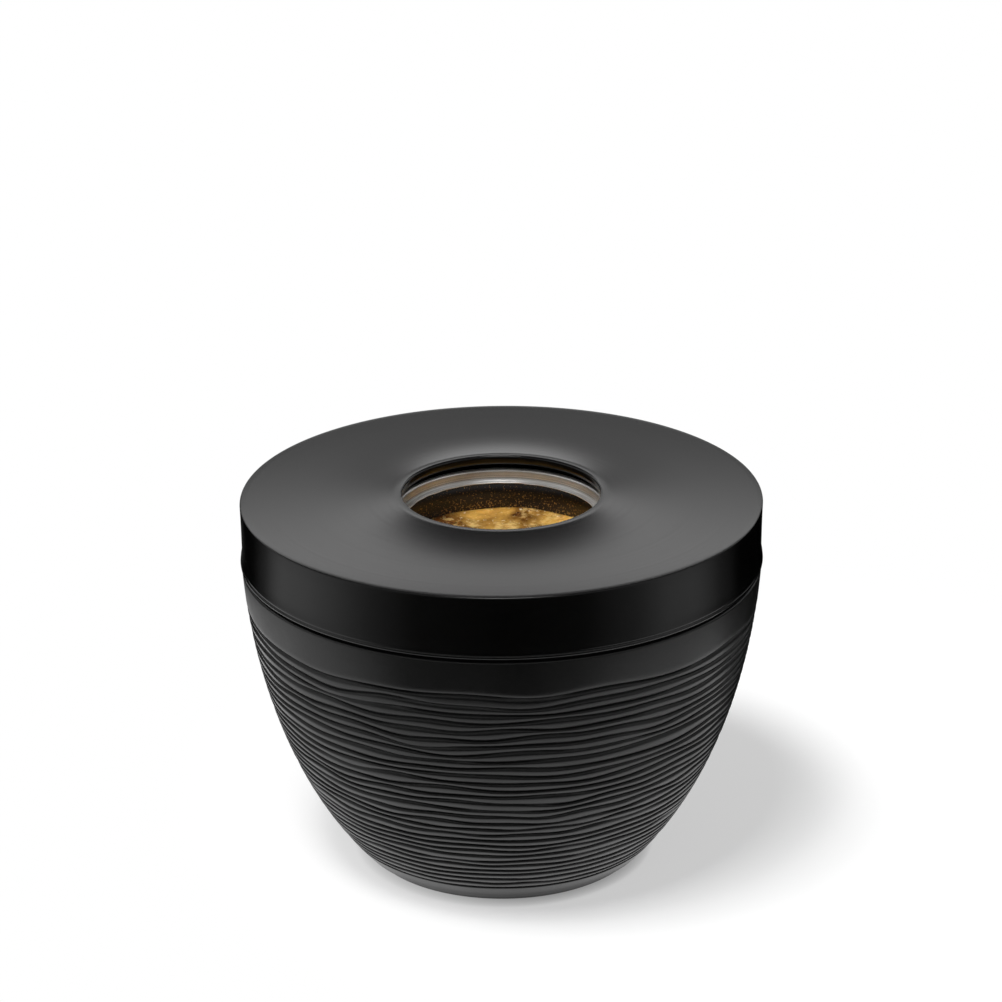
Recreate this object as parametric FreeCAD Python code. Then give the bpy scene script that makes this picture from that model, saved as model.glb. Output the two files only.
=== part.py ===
import FreeCAD, Part
import math
import os

# Tabletop gel fuel fire pit: a cast bowl with a ridged wall, a spun steel lid with a flame hole,
# a fuel can, and the cradle that holds the can just under the lid.
# Millimetres, +Z up. The origin is the centre of the base, on the table.

# Heights that the rest hangs from
lid_top_height = 153.0  # table to the flat of the lid
base_gap = 1.0  # the foot pads hold the foot this far off the table

# Bowl wall: its outline is part of an ellipse, widest above the shoulder and lowest below the table
foot_radius = 56.0
shoulder_inset = 0.5  # shoulder inside the lid's widest radius
wall_centre_rise = 18.6
wall_overrun = 23.5
wall_thickness = 9.5
foot_band_height = 10.7
collar_depth = 15.9

# Ridges around the wall, each one lapping over the groove below it
ridge_count = 28
ridge_relief = 0.9
ridge_ledge_share = 0.3
ridge_widening = 0.15  # the ridges grow wider toward the collar

# Foot and floor of the bowl
foot_land = 12.0
recess_height = 6.0
floor_height = 14.0
foot_edge_cut = 1.0
floor_corner_cut = 5.0
inside_facets = 3

# Neck of the bowl, inside the lid's skirt
neck_thickness = 7.5
neck_edge_cut = 0.8
shoulder_edge_cut = 0.6

# Lid, one sheet: rolled lip, gentle rise, flat top, skirt and hem
lid_radius = 105.0
lid_sheet = 0.9
lid_edge_radius = 1.6
lid_edge_inset = 0.5
lid_hem_depth = 24.5
hem_radius = 0.85
hole_radius = 39.75
lip_rise = 1.5
lip_radius = 1.9
lip_depth = 3.6
rise_width = 26.0
skirt_clearance = 0.8
hem_gap = 1.1  # hem down to the bowl's shoulder

# Pads under the foot and bumpers on the rim
pad_count = 4
pad_radius = 4.0
pad_thickness = 2.2
bumper_count = 4
bumper_radius = 2.2
bumper_thickness = 2.5
bumper_proud = 1.5
pocket_clearance = 0.05

# Fuel can, open at the top after its panel is pulled off
can_radius = 41.9
can_height = 98.0
can_sheet = 0.4
can_gap = 2.4  # the lid's lip down to the can's rim
seam_overhang = 1.75
seam_height = 3.1
seam_width = 2.6
seam_edge_cut = 0.7
seam_gap = 0.05
chuck_depth = 5.4
ledge_width = 2.4
end_panel_rise = 4.6
gel_drop = 17.5  # can's rim down to the gel

# Cradle under the can
dish_sheet = 1.2
dish_clearance = 0.65
dish_rim_height = 8.0
dish_corner_radius = 1.0
dish_hole_radius = 10.0
leg_count = 3
leg_first_angle = 90.0
leg_width = 14.0
leg_sheet = 1.5
leg_bend_radius = 1.5
leg_inset = 6.3  # outer side of the leg inside the dish's rim
leg_tab = 14.5
leg_foot = 11.5
rivet_radius = 2.0
rivet_head_radius = 3.6
rivet_head_height = 1.3
screw_radius = 2.0
screw_head_radius = 3.7
screw_head_height = 2.6
screw_length = 6.5
screw_inset = 4.6  # screw to the end of the leg's foot
washer_radius = 4.3
washer_thickness = 0.8
insert_radius = 3.2
insert_length = 7.0
head_top_share = 0.55
screw_slot = 1.0
hole_clearance = 0.15
thread_clearance = 0.03

# Places worked out from the sizes above
lid_underside = lid_top_height - lid_sheet
lid_crest = lid_top_height + lip_rise
lip_low = lid_crest - lip_depth
hem_height = lid_top_height - lid_hem_depth
hem_side = hem_radius / math.sqrt(3)
rim_height = lid_underside - bumper_proud
neck_radius = lid_radius - 2 * hem_radius - skirt_clearance
neck_bore = neck_radius - neck_thickness
shoulder_radius = lid_radius - shoulder_inset
shoulder_height = hem_height - 2 * hem_side - hem_gap
wall_centre_height = shoulder_height + wall_centre_rise
wall_half_height = wall_centre_height + wall_overrun
can_rim = lip_low - can_gap
can_base = can_rim - can_height
seam_radius = can_radius + seam_overhang
dish_bore = seam_radius + dish_clearance
leg_top = can_base - dish_sheet
leg_upright_radius = dish_bore - leg_inset
pad_circle = foot_radius - foot_land / 2
bumper_circle = neck_radius - neck_thickness / 2
bumper_low = lid_underside - bumper_thickness
rivet_circle = leg_upright_radius - leg_tab / 2
foot_end = leg_upright_radius + leg_foot
screw_circle = foot_end - screw_inset
full_turn = 360.0
diagonal = 45.0


def at(radius, height):
    return FreeCAD.Vector(radius, 0, height)


def line(start, end):
    return Part.LineSegment(start, end).toShape()


def section(edges):
    return Part.Face(Part.Wire(Part.__sortEdges__(edges)))


def polygon(corners):
    return section([line(a, b) for a, b in zip(corners, corners[1:] + corners[:1])])


def turned(face):
    # Turns a section about the axis; a section drawn the other way round comes out inside out
    solid = face.revolve(at(0, 0), FreeCAD.Vector(0, 0, 1), full_turn)
    return solid if solid.Volume > 0 else solid.reversed()


def disc(radius, low, high, centre=(0.0, 0.0)):
    return Part.makeCylinder(radius, high - low, FreeCAD.Vector(centre[0], centre[1], low))


def washer(radius, bore, low, high, centre=(0.0, 0.0)):
    return disc(radius, low, high, centre).cut(disc(bore, low, high, centre))


def ring_spots(count, radius, first_angle):
    # Centres and angles of things spaced evenly around the axis
    spots = []
    for index in range(count):
        angle = first_angle + index * full_turn / count
        turn = math.radians(angle)
        spots.append(((radius * math.cos(turn), radius * math.sin(turn)), angle))
    return spots


def bend_ends(before, corner, after, radius):
    # Where a bend of this radius leaves each run, and the middle of its arc
    back = (before - corner).normalize()
    ahead = (after - corner).normalize()
    half_turn = (math.pi - back.getAngle(ahead)) / 2
    reach = radius * math.tan(half_turn)
    inward = (back + ahead).normalize() * radius * (1 / math.cos(half_turn) - 1)
    return corner + back * reach, corner + inward, corner + ahead * reach


def arc_path(corners, radii):
    # Straight runs from corner to corner, with a true arc at each inner corner
    edges = []
    start = corners[0]
    for before, corner, after, radius in zip(corners, corners[1:], corners[2:], radii):
        first, middle, last = bend_ends(before, corner, after, radius)
        edges += [line(start, first), Part.Arc(first, middle, last).toShape()]
        start = last
    return edges + [line(start, corners[-1])]


def facet_path(corners, radii):
    # The same path with two short straight facets for each bend; radius 0 keeps a corner
    path = [corners[0]]
    for before, corner, after, radius in zip(corners, corners[1:], corners[2:], radii):
        path += bend_ends(before, corner, after, radius) if radius else [corner]
    return path + [corners[-1]]


def other_skin(corners, thickness):
    # The corners of a sheet's second skin, which lies on the right of the first
    runs = [(b - a).normalize() for a, b in zip(corners, corners[1:])]
    rights = [FreeCAD.Vector(run.z, 0, -run.x) for run in runs]
    skin = [corners[0] + rights[0] * thickness]
    for corner, n, m in zip(corners[1:], rights, rights[1:]):
        skin.append(corner + (n + m) * (thickness / (1 + n.dot(m))))
    return skin + [corners[-1] + rights[-1] * thickness]


def ellipse_share(height):
    # Half width of the wall's ellipse at a height, as a share of its widest
    return math.sqrt(1 - ((height - wall_centre_height) / wall_half_height) ** 2)


class Wall:
    # A wall outline on the bowl's ellipse, through one low point and one high point
    def __init__(self, low_radius, low, high_radius, high):
        spread = ellipse_share(high) - ellipse_share(low)
        self.half_width = (high_radius - low_radius) / spread
        self.centre = low_radius - self.half_width * ellipse_share(low)

    def point(self, height, inset=0.0):
        return at(self.centre + self.half_width * ellipse_share(height) - inset, height)

    def arc(self, low, high):
        ellipse = Part.Ellipse(
            at(self.centre, wall_centre_height + wall_half_height),
            at(self.centre + self.half_width, wall_centre_height),
            at(self.centre, wall_centre_height),
        )
        ends = [ellipse.parameter(self.point(height)) for height in (low, high)]
        return Part.ArcOfEllipse(ellipse, min(ends), max(ends)).toShape()


def ridge_path(outside, low, high):
    # Up the wall: from each groove out over a short ledge to a crest, then back in to the next
    # groove. The collar's lower edge laps over the last groove like one more crest.
    grooves = []
    for index in range(ridge_count + 1):
        share = index / ridge_count
        rise = share * (1 + ridge_widening * share) / (1 + ridge_widening)
        grooves.append(low + rise * (high - low))
    path = [outside.point(low)]
    for groove, above in zip(grooves, grooves[1:]):
        ledge = ridge_ledge_share * (above - groove)
        path.append(outside.point(groove, ridge_relief))
        path.append(outside.point(groove + ledge))
    path.append(outside.point(high, ridge_relief))
    path.append(outside.point(high + ledge))
    return path


def bowl_shell():
    outside = Wall(foot_radius, base_gap, shoulder_radius, shoulder_height)
    floor_edge = outside.point(floor_height, wall_thickness)
    inside = Wall(floor_edge.x, floor_height, neck_bore, shoulder_height)
    corner_top = floor_height + floor_corner_cut
    inside_rise = (shoulder_height - corner_top) / inside_facets
    ridges = ridge_path(outside, foot_band_height, shoulder_height - collar_depth)
    collar_top = shoulder_height - shoulder_edge_cut
    upper = [
        outside.point(collar_top),
        at(shoulder_radius - shoulder_edge_cut, shoulder_height),
        at(neck_radius, shoulder_height),
        at(neck_radius, rim_height - neck_edge_cut),
        at(neck_radius - neck_edge_cut, rim_height),
        at(neck_bore + neck_edge_cut, rim_height),
        at(neck_bore, rim_height - neck_edge_cut),
    ]
    for index in range(inside_facets):
        upper.append(inside.point(shoulder_height - index * inside_rise))
    recess_radius = foot_radius - foot_land
    upper += [
        inside.point(corner_top),
        at(inside.point(corner_top).x - floor_corner_cut, floor_height),
        at(0, floor_height),
        at(0, recess_height),
        at(recess_radius, recess_height),
        at(recess_radius, base_gap),
        at(foot_radius - foot_edge_cut, base_gap),
        outside.point(base_gap + foot_edge_cut),
        ridges[0],
    ]
    edges = [line(a, b) for a, b in zip(ridges, ridges[1:])]
    edges += [line(a, b) for a, b in zip(upper, upper[1:])]
    edges.append(outside.arc(ridges[-1].z, collar_top))
    shell = turned(section(edges))
    holes = [
        (pad_radius + pocket_clearance, base_gap, pad_thickness, pad_spots),
        (bumper_radius + pocket_clearance, bumper_low, rim_height, bumper_spots),
        (insert_radius, floor_height - insert_length, floor_height, screw_spots),
    ]
    for radius, low, high, spots in holes:
        for centre, _ in spots:
            shell = shell.cut(disc(radius, low, high, centre))
    return shell


def foot_pad(centre):
    return disc(pad_radius, 0, pad_thickness, centre)


def rim_bumper(centre):
    return disc(bumper_radius, bumper_low, bumper_low + bumper_thickness, centre)


def lid_plate():
    # The path is the skin that shows, from the lip's lower edge up, out and down to the hem
    hem_centre = lid_radius - hem_radius
    corners = [
        at(hole_radius, lip_low),
        at(hole_radius, lid_crest),
        at(hole_radius + rise_width, lid_top_height),
        at(lid_radius - lid_edge_inset, lid_top_height),
        at(hem_centre + lid_sheet / 2, hem_height),
    ]
    skin = facet_path(corners, [lip_radius, 0, lid_edge_radius])
    sheet = turned(polygon(skin + other_skin(skin, lid_sheet)[::-1]))
    return sheet.fuse(hem_bead(hem_centre)).removeSplitter()


def hem_bead(radius):
    # The rolled edge of the skirt, drawn as a bead with six flat sides, one of them outermost
    sides = [
        at(radius + hem_radius, hem_height + hem_side),
        at(radius, hem_height + 2 * hem_side),
        at(radius - hem_radius, hem_height + hem_side),
        at(radius - hem_radius, hem_height - hem_side),
        at(radius, hem_height - 2 * hem_side),
        at(radius + hem_radius, hem_height - hem_side),
    ]
    return turned(polygon(sides))


def can_body():
    # The tube stands on the bottom seam and reaches up to the top seam
    low = can_base + seam_height
    return washer(can_radius, can_radius - can_sheet, low, can_rim - seam_height)


def can_top_ring():
    # The rolled seam, the wall down inside the tube, and the ledge where the panel tore off
    low = can_rim - chuck_depth
    chuck_outer = can_radius - can_sheet - seam_gap
    chuck_inner = seam_radius - seam_width
    corners = [
        at(seam_radius, can_rim - seam_height),
        at(seam_radius, can_rim - seam_edge_cut),
        at(seam_radius - seam_edge_cut, can_rim),
        at(chuck_inner + seam_edge_cut, can_rim),
        at(chuck_inner, can_rim - seam_edge_cut),
        at(chuck_inner, low + can_sheet),
        at(chuck_inner - ledge_width, low + can_sheet),
        at(chuck_inner - ledge_width, low),
        at(chuck_outer, low),
        at(chuck_outer, can_rim - seam_height),
    ]
    return turned(polygon(corners))


def can_bottom_end():
    # The rolled seam that the can stands on, and the panel set up inside it
    panel_low = can_base + end_panel_rise
    panel_high = panel_low + can_sheet
    chuck_outer = can_radius - can_sheet - seam_gap
    chuck_inner = seam_radius - seam_width
    corners = [
        at(seam_radius, can_base + seam_height),
        at(seam_radius, can_base + seam_edge_cut),
        at(seam_radius - seam_edge_cut, can_base),
        at(chuck_inner, can_base),
        at(chuck_inner, panel_low),
        at(0, panel_low),
        at(0, panel_high),
        at(chuck_outer, panel_high),
        at(chuck_outer, can_base + seam_height),
    ]
    return turned(polygon(corners))


def gel_fuel():
    # Fills the can from the bottom panel to the level that is left
    low = can_base + end_panel_rise + can_sheet
    return disc(can_radius - can_sheet - seam_gap, low, can_rim - gel_drop)


def cradle_dish():
    # The path is the skin that the can stands on, from the middle hole out and up the rim
    corners = [
        at(dish_hole_radius, can_base),
        at(dish_bore, can_base),
        at(dish_bore, can_base + dish_rim_height),
    ]
    skin = facet_path(corners, [dish_corner_radius])
    dish = turned(polygon(skin + other_skin(skin, dish_sheet)[::-1]))
    for centre, _ in rivet_spots:
        dish = dish.cut(disc(rivet_radius, leg_top, can_base, centre))
    return dish


def cradle_leg(angle):
    # A strap bent twice: a tab under the dish, an upright, and a foot on the bowl's floor
    corners = [
        at(leg_upright_radius - leg_tab, leg_top),
        at(leg_upright_radius, leg_top),
        at(leg_upright_radius, floor_height + leg_sheet),
        at(foot_end, floor_height + leg_sheet),
    ]
    back = other_skin(corners, leg_sheet)[::-1]
    radii = [leg_bend_radius + leg_sheet, leg_bend_radius]
    edges = arc_path(corners, radii) + arc_path(back, radii)
    edges += [line(corners[-1], back[0]), line(back[-1], corners[0])]
    leg = section(edges).extrude(FreeCAD.Vector(0, leg_width, 0))
    leg.translate(FreeCAD.Vector(0, -leg_width / 2, 0))
    leg = leg.cut(disc(rivet_radius, leg_top - leg_sheet, leg_top, (rivet_circle, 0)))
    screw_hole = screw_radius + hole_clearance
    foot_top = floor_height + leg_sheet
    leg = leg.cut(disc(screw_hole, floor_height, foot_top, (screw_circle, 0)))
    leg.rotate(at(0, 0), FreeCAD.Vector(0, 0, 1), angle)
    return leg


def fastener_head(radius, base, top):
    # A low head on the axis, from its flat side at the height base to its smaller end at top
    ways = FreeCAD.Vector(0, 0, 1 if top > base else -1)
    return Part.makeCone(radius, radius * head_top_share, abs(top - base), at(0, base), ways)


def cradle_rivet(centre):
    low = leg_top - leg_sheet
    rivet = disc(rivet_radius, low, can_base)
    for base, top in ((can_base, can_base + rivet_head_height), (low, low - rivet_head_height)):
        rivet = rivet.fuse(fastener_head(rivet_head_radius, base, top))
    rivet.translate(FreeCAD.Vector(centre[0], centre[1], 0))
    return rivet.removeSplitter()


def leg_screw(centre):
    seat = floor_height + leg_sheet + washer_thickness
    top = seat + screw_head_height
    shank = disc(screw_radius - thread_clearance, seat - screw_length, seat)
    screw = shank.fuse(fastener_head(screw_head_radius, seat, top))
    slot = Part.makeBox(2 * screw_head_radius, screw_slot, screw_slot)
    slot.translate(FreeCAD.Vector(-screw_head_radius, -screw_slot / 2, top - screw_slot))
    screw = screw.cut(slot)
    screw.translate(FreeCAD.Vector(centre[0], centre[1], 0))
    return screw


def leg_washer(centre):
    low = floor_height + leg_sheet
    return washer(washer_radius, screw_radius + hole_clearance, low, low + washer_thickness, centre)


def floor_insert(centre):
    return washer(insert_radius, screw_radius, floor_height - insert_length, floor_height, centre)


def group(make, spots):
    return Part.makeCompound([make(centre) for centre, _ in spots])


def main():
    parts = {
        "bowl_shell": bowl_shell(),
        "lid_plate": lid_plate(),
        "can_body": can_body(),
        "can_top_ring": can_top_ring(),
        "can_bottom_end": can_bottom_end(),
        "gel_fuel": gel_fuel(),
        "cradle_dish": cradle_dish(),
        "cradle_rivets": group(cradle_rivet, rivet_spots),
        "leg_screws": group(leg_screw, screw_spots),
        "leg_washers": group(leg_washer, screw_spots),
        "floor_inserts": group(floor_insert, screw_spots),
    }
    for number, (centre, _) in enumerate(pad_spots, 1):
        parts[f"foot_pad_{number}"] = foot_pad(centre)
    for number, (centre, _) in enumerate(bumper_spots, 1):
        parts[f"rim_bumper_{number}"] = rim_bumper(centre)
    for number, (_, angle) in enumerate(screw_spots, 1):
        parts[f"cradle_leg_{number}"] = cradle_leg(angle)
    os.makedirs("parts", exist_ok=True)
    for name, shape in parts.items():
        shape.exportStep(f"parts/{name}.step")


pad_spots = ring_spots(pad_count, pad_circle, diagonal)
bumper_spots = ring_spots(bumper_count, bumper_circle, diagonal)
rivet_spots = ring_spots(leg_count, rivet_circle, leg_first_angle)
screw_spots = ring_spots(leg_count, screw_circle, leg_first_angle)
main()
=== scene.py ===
# Tabletop gel fuel fire pit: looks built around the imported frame
# Lengths in the dictionaries are millimetres, the scene is in metres
import math
import random

import bmesh
import bpy
import numpy as np
from mathutils import Matrix, Vector


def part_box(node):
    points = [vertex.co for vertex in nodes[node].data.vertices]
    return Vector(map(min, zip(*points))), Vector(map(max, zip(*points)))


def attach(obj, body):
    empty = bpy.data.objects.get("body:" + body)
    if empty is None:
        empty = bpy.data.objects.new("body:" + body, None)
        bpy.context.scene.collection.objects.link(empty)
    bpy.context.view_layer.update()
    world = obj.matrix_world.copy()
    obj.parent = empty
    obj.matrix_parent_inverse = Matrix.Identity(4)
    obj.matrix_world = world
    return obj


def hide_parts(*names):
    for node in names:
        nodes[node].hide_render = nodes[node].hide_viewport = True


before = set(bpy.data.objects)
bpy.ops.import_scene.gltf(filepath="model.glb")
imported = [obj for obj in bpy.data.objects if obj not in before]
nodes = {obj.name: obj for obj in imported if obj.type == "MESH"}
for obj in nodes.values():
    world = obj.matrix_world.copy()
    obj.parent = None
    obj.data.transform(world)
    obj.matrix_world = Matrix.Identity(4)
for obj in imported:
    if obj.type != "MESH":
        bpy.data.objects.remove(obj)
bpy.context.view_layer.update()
mm = 0.001
fullTurn = 2 * math.pi
roundSteps = 236  # columns round the bowl


def nodeBox(name):  # a CAD node's lowest and highest corner, in millimetres
    low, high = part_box(name)
    return low / mm, high / mm


lidRadius = nodeBox("lid_plate")[1].y
bowlLow, bowlHigh = nodeBox("bowl_shell")
canLow, canHigh = nodeBox("can_top_ring")
gelLow, gelHigh = nodeBox("gel_fuel")
endLow, endHigh = nodeBox("can_bottom_end")
print("frame loaded")


# Mesh helpers

def addPiece(name, points, faces, body, material):
    mesh = bpy.data.meshes.new(name)
    mesh.from_pydata([Vector(p) * mm for p in points], [], faces)
    mesh.validate()
    fixed = bmesh.new()
    fixed.from_mesh(mesh)
    bmesh.ops.recalc_face_normals(fixed, faces=fixed.faces)
    fixed.to_mesh(mesh)
    fixed.free()
    piece = bpy.data.objects.new(name, mesh)
    bpy.context.scene.collection.objects.link(piece)
    mesh.materials.append(material)
    mesh.shade_smooth()
    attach(piece, body)
    return piece


def turnedMesh(rings, closed=False):
    # rings: one array of (x, y, z) points per row, or a single point on the axis
    points, starts, faces = [], [], []
    for ring in rings:
        starts.append(len(points))
        points += [tuple(p) for p in ring]
    pairs = list(zip(range(len(rings)), range(1, len(rings))))
    if closed:
        pairs.append((len(rings) - 1, 0))
    for a, b in pairs:
        for i in range(max(len(rings[a]), len(rings[b]))):
            corners = [starts[a] + i % len(rings[a]), starts[a] + (i + 1) % len(rings[a]),
                       starts[b] + (i + 1) % len(rings[b]), starts[b] + i % len(rings[b])]
            faces.append(list(dict.fromkeys(corners)))
    return points, faces


def lathe(name, rings, body, material, closed=False):
    points, faces = turnedMesh(rings, closed)
    return addPiece(name, points, faces, body, material)


def ringAt(radius, height, steps):
    # radius and height may be numbers or one value per column
    if np.ndim(radius) == 0 and radius == 0:
        return [(0.0, 0.0, float(height))]
    turn = np.arange(steps) * fullTurn / steps
    radius = np.broadcast_to(radius, steps)
    height = np.broadcast_to(height, steps)
    return np.stack([radius * np.cos(turn), radius * np.sin(turn), height], axis=1)


def turnedPiece(name, outline, body, material, steps, closed=True):
    return lathe(name, [ringAt(r, z, steps) for r, z in outline], body, material, closed)


def arcPoints(centre, radius, start, end, count):
    # degrees, 0 is outwards and 90 is up
    angles = np.radians(np.linspace(start, end, count))
    return [(centre[0] + radius * math.cos(a), centre[1] + radius * math.sin(a)) for a in angles]


def smoothStep(x):
    x = np.clip(x, 0.0, 1.0)
    return x * x * (3 - 2 * x)


# Materials

def makeMaterial(name, colour, roughness, metallic=0.0):
    material = bpy.data.materials.new(name)
    material.use_nodes = True
    shader = material.node_tree.nodes["Principled BSDF"]
    shader.inputs["Base Color"].default_value = (*colour, 1)
    shader.inputs["Roughness"].default_value = roughness
    shader.inputs["Metallic"].default_value = metallic
    return material, shader


def addNode(material, kind, **inputs):
    node = material.node_tree.nodes.new(kind)
    for name, value in inputs.items():
        node.inputs[name.replace("_", " ")].default_value = value
    return node


def wire(material, source, target):
    material.node_tree.links.new(source, target)


def objectPlace(material, stretch=(1, 1, 1)):
    place = addNode(material, "ShaderNodeTexCoord")
    mapping = addNode(material, "ShaderNodeMapping", Scale=stretch)
    wire(material, place.outputs["Object"], mapping.inputs["Vector"])
    return mapping.outputs["Vector"]


def noiseAt(material, place, scale, detail=4.0, roughness=0.55):
    texture = addNode(material, "ShaderNodeTexNoise", Scale=scale, Detail=detail, Roughness=roughness)
    wire(material, place, texture.inputs["Vector"])
    return texture.outputs["Fac"]


def spread(material, source, low, high, toLow, toHigh):
    remap = addNode(material, "ShaderNodeMapRange", From_Min=low, From_Max=high, To_Min=toLow, To_Max=toHigh)
    wire(material, source, remap.inputs["Value"])
    return remap.outputs["Result"]


def blendColour(material, factor, first, second):
    mix = material.node_tree.nodes.new("ShaderNodeMix")
    mix.data_type = "RGBA"
    for socket, colour in ((mix.inputs["A"], first), (mix.inputs["B"], second)):
        if isinstance(colour, bpy.types.NodeSocket):
            wire(material, colour, socket)
        else:
            socket.default_value = (*colour, 1)
    wire(material, factor, mix.inputs["Factor"])
    return mix.outputs["Result"]


def addBump(material, shader, height, strength, distance, under=None):
    bump = addNode(material, "ShaderNodeBump", Strength=strength, Distance=distance * mm)
    wire(material, height, bump.inputs["Height"])
    if under is not None:
        wire(material, under, bump.inputs["Normal"])
    wire(material, bump.outputs["Normal"], shader.inputs["Normal"])
    return bump.outputs["Normal"]


def roundPlace(material, along, across):
    # distance from the axis and height, so that lines run round the piece
    place = addNode(material, "ShaderNodeTexCoord")
    split = addNode(material, "ShaderNodeSeparateXYZ")
    wire(material, place.outputs["Object"], split.inputs["Vector"])
    flat = addNode(material, "ShaderNodeCombineXYZ")
    wire(material, split.outputs["X"], flat.inputs["X"])
    wire(material, split.outputs["Y"], flat.inputs["Y"])
    reach = addNode(material, "ShaderNodeVectorMath")
    reach.operation = "LENGTH"
    wire(material, flat.outputs["Vector"], reach.inputs[0])
    joined = addNode(material, "ShaderNodeCombineXYZ")
    wire(material, reach.outputs["Value"], joined.inputs["X"])
    wire(material, split.outputs["Z"], joined.inputs["Z"])
    scaled = addNode(material, "ShaderNodeMapping", Scale=(along, 1, across))
    wire(material, joined.outputs["Vector"], scaled.inputs["Vector"])
    return scaled.outputs["Vector"]


def castBlack():
    # fired clay body under a thin satin black coat
    material, shader = makeMaterial("castBlack", (0.02, 0.02, 0.02), 0.5)
    place = objectPlace(material)
    cloud = noiseAt(material, place, 35, 3)
    grain = noiseAt(material, place, 900, 5, 0.65)
    pits = noiseAt(material, place, 260, 3, 0.5)
    tone = blendColour(material, cloud, (0.0024, 0.0024, 0.0025), (0.0040, 0.0040, 0.0039))
    specks = spread(material, grain, 0.45, 0.75, 0, 0.5)
    wire(material, blendColour(material, specks, tone, (0.009, 0.009, 0.009)), shader.inputs["Base Color"])
    wire(material, spread(material, cloud, 0.3, 0.7, 0.34, 0.42), shader.inputs["Roughness"])
    worn = addBump(material, shader, pits, 0.25, 0.12)
    addBump(material, shader, grain, 0.3, 0.06, worn)
    shader.inputs["Specular IOR Level"].default_value = 0.4
    return material


def lidBlack():
    # smooth satin coat on spun steel
    material, shader = makeMaterial("lidBlack", (0.02, 0.02, 0.02), 0.36)
    place = objectPlace(material)
    cloud = noiseAt(material, place, 14, 2)
    peel = noiseAt(material, place, 520, 2, 0.4)
    spun = noiseAt(material, roundPlace(material, 700, 700), 1.0, 3)
    wire(material, blendColour(material, cloud, (0.0012, 0.0012, 0.0012), (0.002, 0.002, 0.0019)),
         shader.inputs["Base Color"])
    wire(material, spread(material, spun, 0.3, 0.7, 0.16, 0.19), shader.inputs["Roughness"])
    addBump(material, shader, peel, 0.12, 0.03)
    shader.inputs["Specular IOR Level"].default_value = 0.4
    return material


def tinplate():
    material, shader = makeMaterial("tinplate", (0.6, 0.59, 0.57), 0.3, 0.72)
    lines = noiseAt(material, roundPlace(material, 900, 2600), 1.0, 4, 0.6)
    stain = noiseAt(material, objectPlace(material), 60, 4)
    dull = spread(material, stain, 0.4, 0.7, 0, 0.6)
    wire(material, blendColour(material, dull, (0.66, 0.655, 0.64), (0.42, 0.39, 0.35)),
         shader.inputs["Base Color"])
    wire(material, spread(material, lines, 0.3, 0.7, 0.22, 0.4), shader.inputs["Roughness"])
    addBump(material, shader, lines, 0.2, 0.03)
    return material


def lacquer():
    # dark lacquer inside the can, speckled with dried gel, most of it just over the gel
    material, shader = makeMaterial("lacquer", (0.02, 0.01, 0.005), 0.36)
    place = objectPlace(material)
    speck = noiseAt(material, place, 1300, 4, 0.6)
    drift = noiseAt(material, place, 110, 4)
    tone = blendColour(material, drift, (0.003, 0.0018, 0.0012), (0.014, 0.006, 0.003))
    split = addNode(material, "ShaderNodeSeparateXYZ")
    wire(material, objectPlace(material), split.inputs["Vector"])
    low = spread(material, split.outputs["Z"], gelHigh.z * mm, canLow.z * mm, 0.065, -0.03)
    lifted = addNode(material, "ShaderNodeMath")
    wire(material, speck, lifted.inputs[0])
    wire(material, low, lifted.inputs[1])
    dried = spread(material, lifted.outputs["Value"], 0.6, 0.68, 0, 1)
    wire(material, blendColour(material, dried, tone, (0.40, 0.22, 0.07)), shader.inputs["Base Color"])
    addBump(material, shader, speck, 0.4, 0.12)
    return material


def amberGel():
    material, shader = makeMaterial("amberGel", (0.5, 0.27, 0.05), 0.08)
    place = objectPlace(material)
    drift = noiseAt(material, place, 55, 6, 0.62)
    film = noiseAt(material, place, 150, 5, 0.7)
    fleck = noiseAt(material, place, 620, 3)
    depth = spread(material, drift, 0.40, 0.62, 0, 1)
    tone = blendColour(material, depth, (0.13, 0.045, 0.008), (0.75, 0.42, 0.09))
    tone = blendColour(material, spread(material, film, 0.52, 0.66, 0, 0.75), tone, (0.95, 0.66, 0.24))
    tone = blendColour(material, spread(material, fleck, 0.62, 0.72, 0, 0.7), tone, (1.0, 0.84, 0.5))
    wire(material, tone, shader.inputs["Base Color"])
    shader.inputs["Coat Weight"].default_value = 0.6
    shader.inputs["Coat Roughness"].default_value = 0.04
    shader.inputs["Subsurface Weight"].default_value = 0.25
    shader.inputs["Subsurface Radius"].default_value = (0.006, 0.003, 0.001)
    addBump(material, shader, film, 0.5, 0.5)
    return material


def zincStrip():
    material, shader = makeMaterial("zincStrip", (0.45, 0.46, 0.47), 0.4, 1.0)
    place = objectPlace(material)
    spangle = noiseAt(material, place, 180, 2)
    rolled = noiseAt(material, objectPlace(material, (60, 60, 1400)), 1.0, 3)
    flakes = spread(material, spangle, 0.35, 0.65, 0, 1)
    wire(material, blendColour(material, flakes, (0.36, 0.37, 0.38), (0.55, 0.56, 0.57)),
         shader.inputs["Base Color"])
    wire(material, spread(material, rolled, 0.3, 0.7, 0.32, 0.5), shader.inputs["Roughness"])
    addBump(material, shader, rolled, 0.15, 0.03)
    return material


def brightZinc():
    material, shader = makeMaterial("brightZinc", (0.6, 0.61, 0.63), 0.28, 1.0)
    tint = noiseAt(material, objectPlace(material), 300, 3)
    tone = blendColour(material, tint, (0.55, 0.56, 0.60), (0.68, 0.67, 0.62))
    wire(material, tone, shader.inputs["Base Color"])
    wire(material, spread(material, tint, 0.3, 0.7, 0.2, 0.36), shader.inputs["Roughness"])
    return material


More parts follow.
